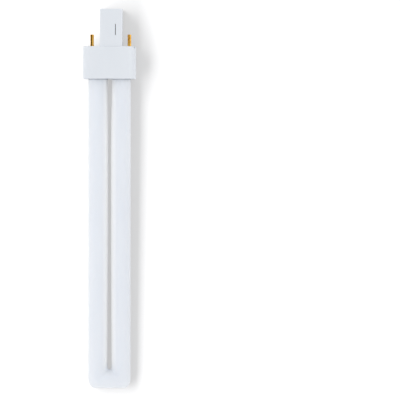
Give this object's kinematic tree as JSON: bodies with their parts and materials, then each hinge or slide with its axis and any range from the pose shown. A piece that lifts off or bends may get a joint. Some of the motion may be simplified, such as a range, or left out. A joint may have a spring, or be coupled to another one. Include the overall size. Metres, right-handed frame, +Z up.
{
  "type": "compact fluorescent lamp",
  "caption": "Twin-tube compact fluorescent lamp: two parallel white glass legs joined by a square bend, in a white cap with a rectangular plug and brass contact pins.",
  "frame": {"origin": "on the surface that the lamp lies on, under the middle of its box", "axes": "+X across the two legs to the right, +Y along the lamp towards its plug, +Z up from the surface; the lamp lies on its back, tilted about one degree so that the collar's rim and the far bend both touch"},
  "size_m": [0.0324, 0.2342, 0.0194],
  "materials": {
    "phosphor_glass": "glossy white coated glass",
    "cap_plastic": "satin white moulded plastic",
    "brass_pin": "drawn brass, lightly tarnished",
    "lead_wire": "drawn nickel-plated wire",
    "cement": "rough white cement",
    "splice_metal": "tinned, crimped",
    "starter_glass": "clear blown glass",
    "bimetal": "rolled strip",
    "capacitor_case": "dipped resin"
  },
  "bodies": {
    "root": {"discharge_tube": "phosphor_glass", "base_shell": "cap_plastic", "tube_plate": "cap_plastic", "cement_bead_left": "cement", "cement_bead_right": "cement", "contact_pin_left": "brass_pin", "contact_pin_right": "brass_pin", "pin_lead_left": "lead_wire", "pin_lead_right": "lead_wire", "starter_lead_left": "lead_wire", "starter_lead_right": "lead_wire", "splice_left": "splice_metal", "splice_right": "splice_metal", "starter_bulb": "starter_glass", "starter_leg_left": "lead_wire", "starter_leg_right": "lead_wire", "bimetal_strip": "bimetal", "capacitor_body": "capacitor_case", "capacitor_lead_left": "lead_wire", "capacitor_lead_right": "lead_wire"}
  },
  "joints": []
}
